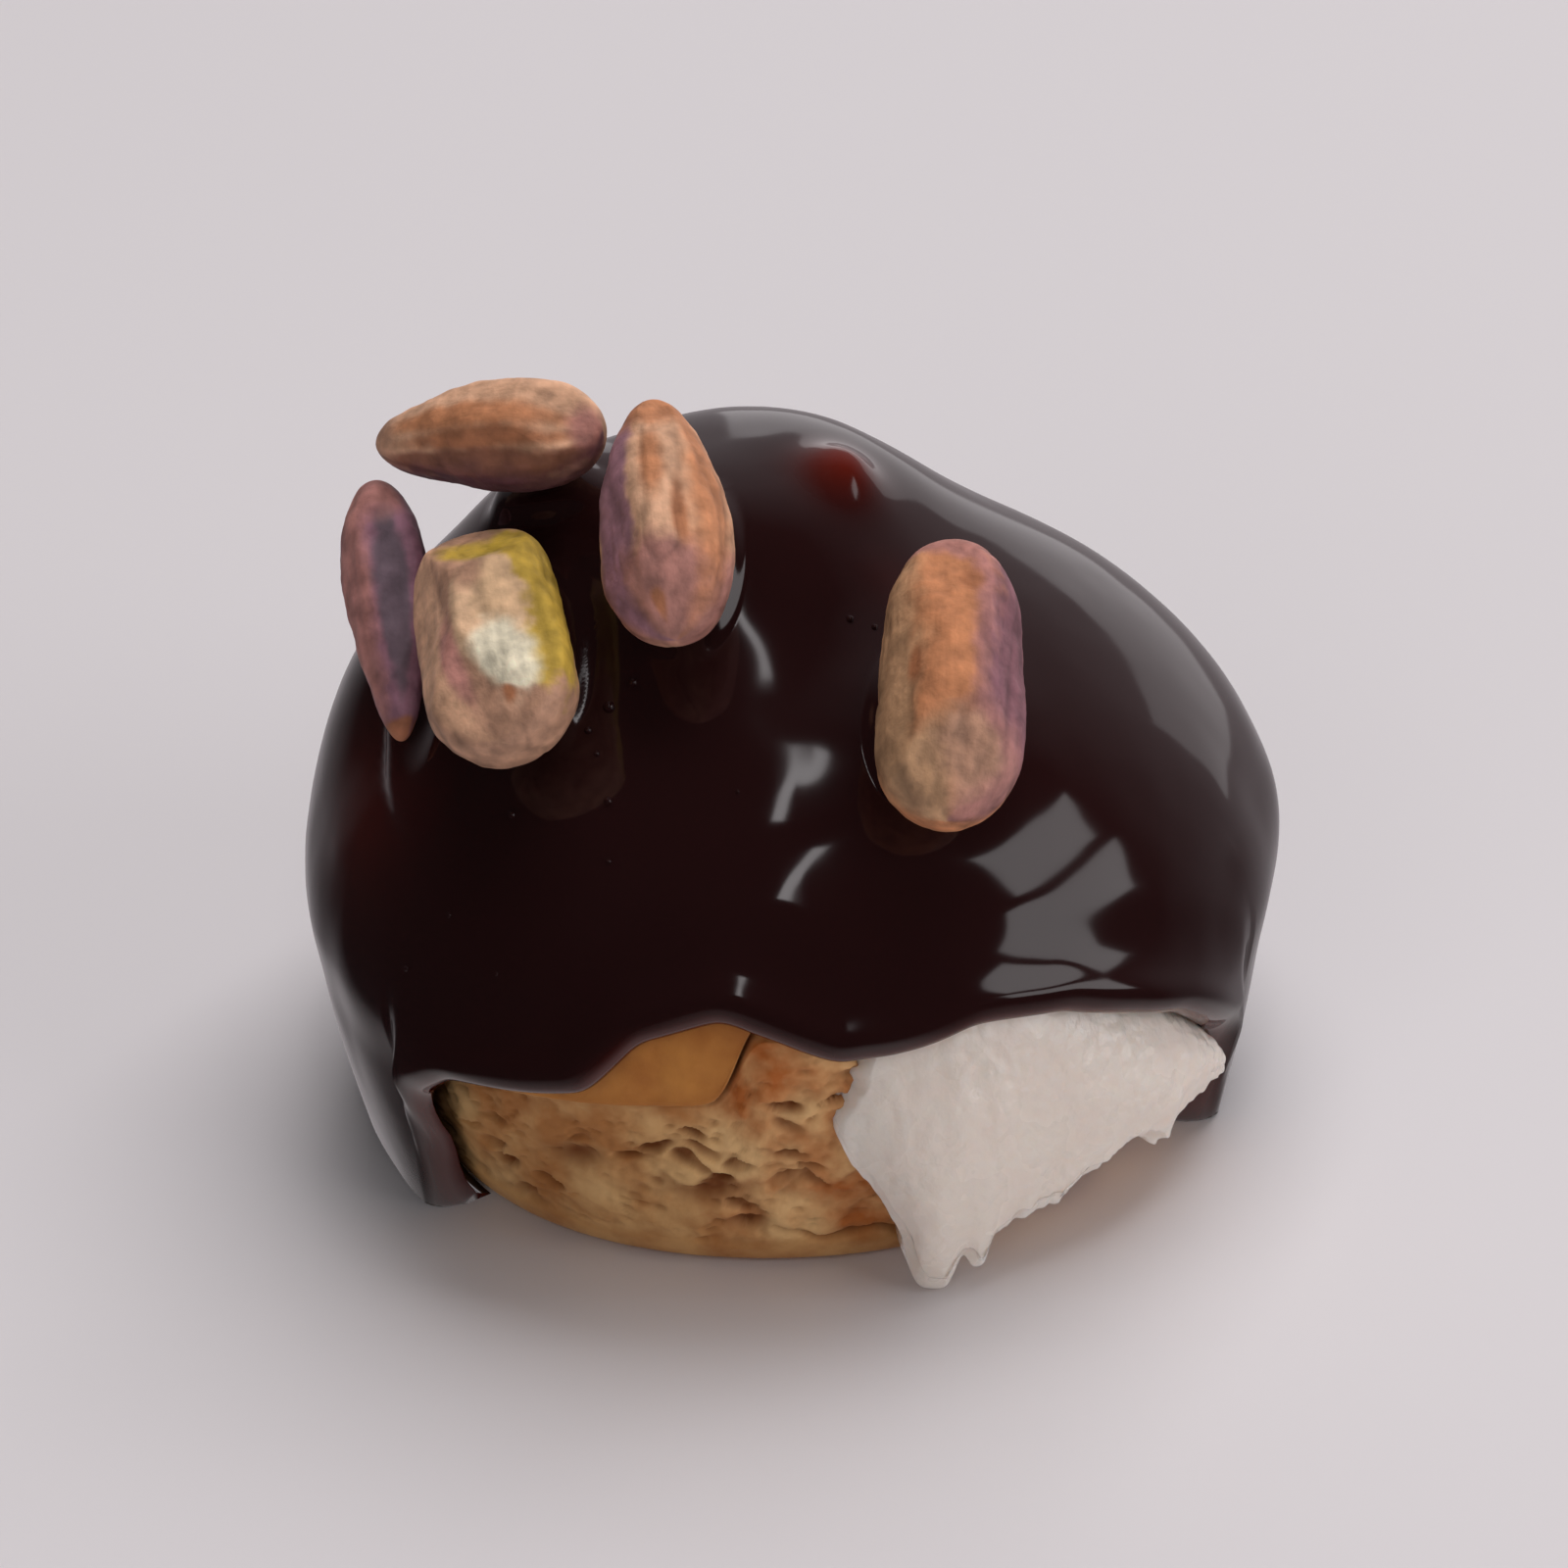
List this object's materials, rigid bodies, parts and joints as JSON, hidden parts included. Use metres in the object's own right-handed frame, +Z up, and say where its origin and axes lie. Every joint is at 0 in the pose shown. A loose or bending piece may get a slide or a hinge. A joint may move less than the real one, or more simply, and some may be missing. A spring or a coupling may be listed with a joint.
{
  "type": "cream puff",
  "caption": "Choux bun cut across and filled with whipped cream that spills out at one side, under runny chocolate sauce and whole pistachio kernels.",
  "frame": {"origin": "middle of the flat foot that the puff rests on, at the floor", "axes": "+Z up through the bun; -Y towards the side where the cut and the cream show; the cream spills between -Y and +X"},
  "size_m": [0.0564, 0.0527, 0.046],
  "materials": {
    "choux_crumb": null,
    "choux_crust": null,
    "cream": null,
    "sauce": null,
    "pistachio_skin": null,
    "pistachio_flesh": null
  },
  "bodies": {
    "root": {"choux_base": "choux_crumb", "choux_cap": "choux_crust", "cream_filling": "cream", "chocolate_sauce": "sauce", "pistachio_front": "pistachio_skin", "pistachio_crown": "pistachio_skin", "pistachio_peeled": "pistachio_flesh", "pistachio_shoulder": "pistachio_skin", "pistachio_flank": "pistachio_skin"}
  },
  "joints": []
}
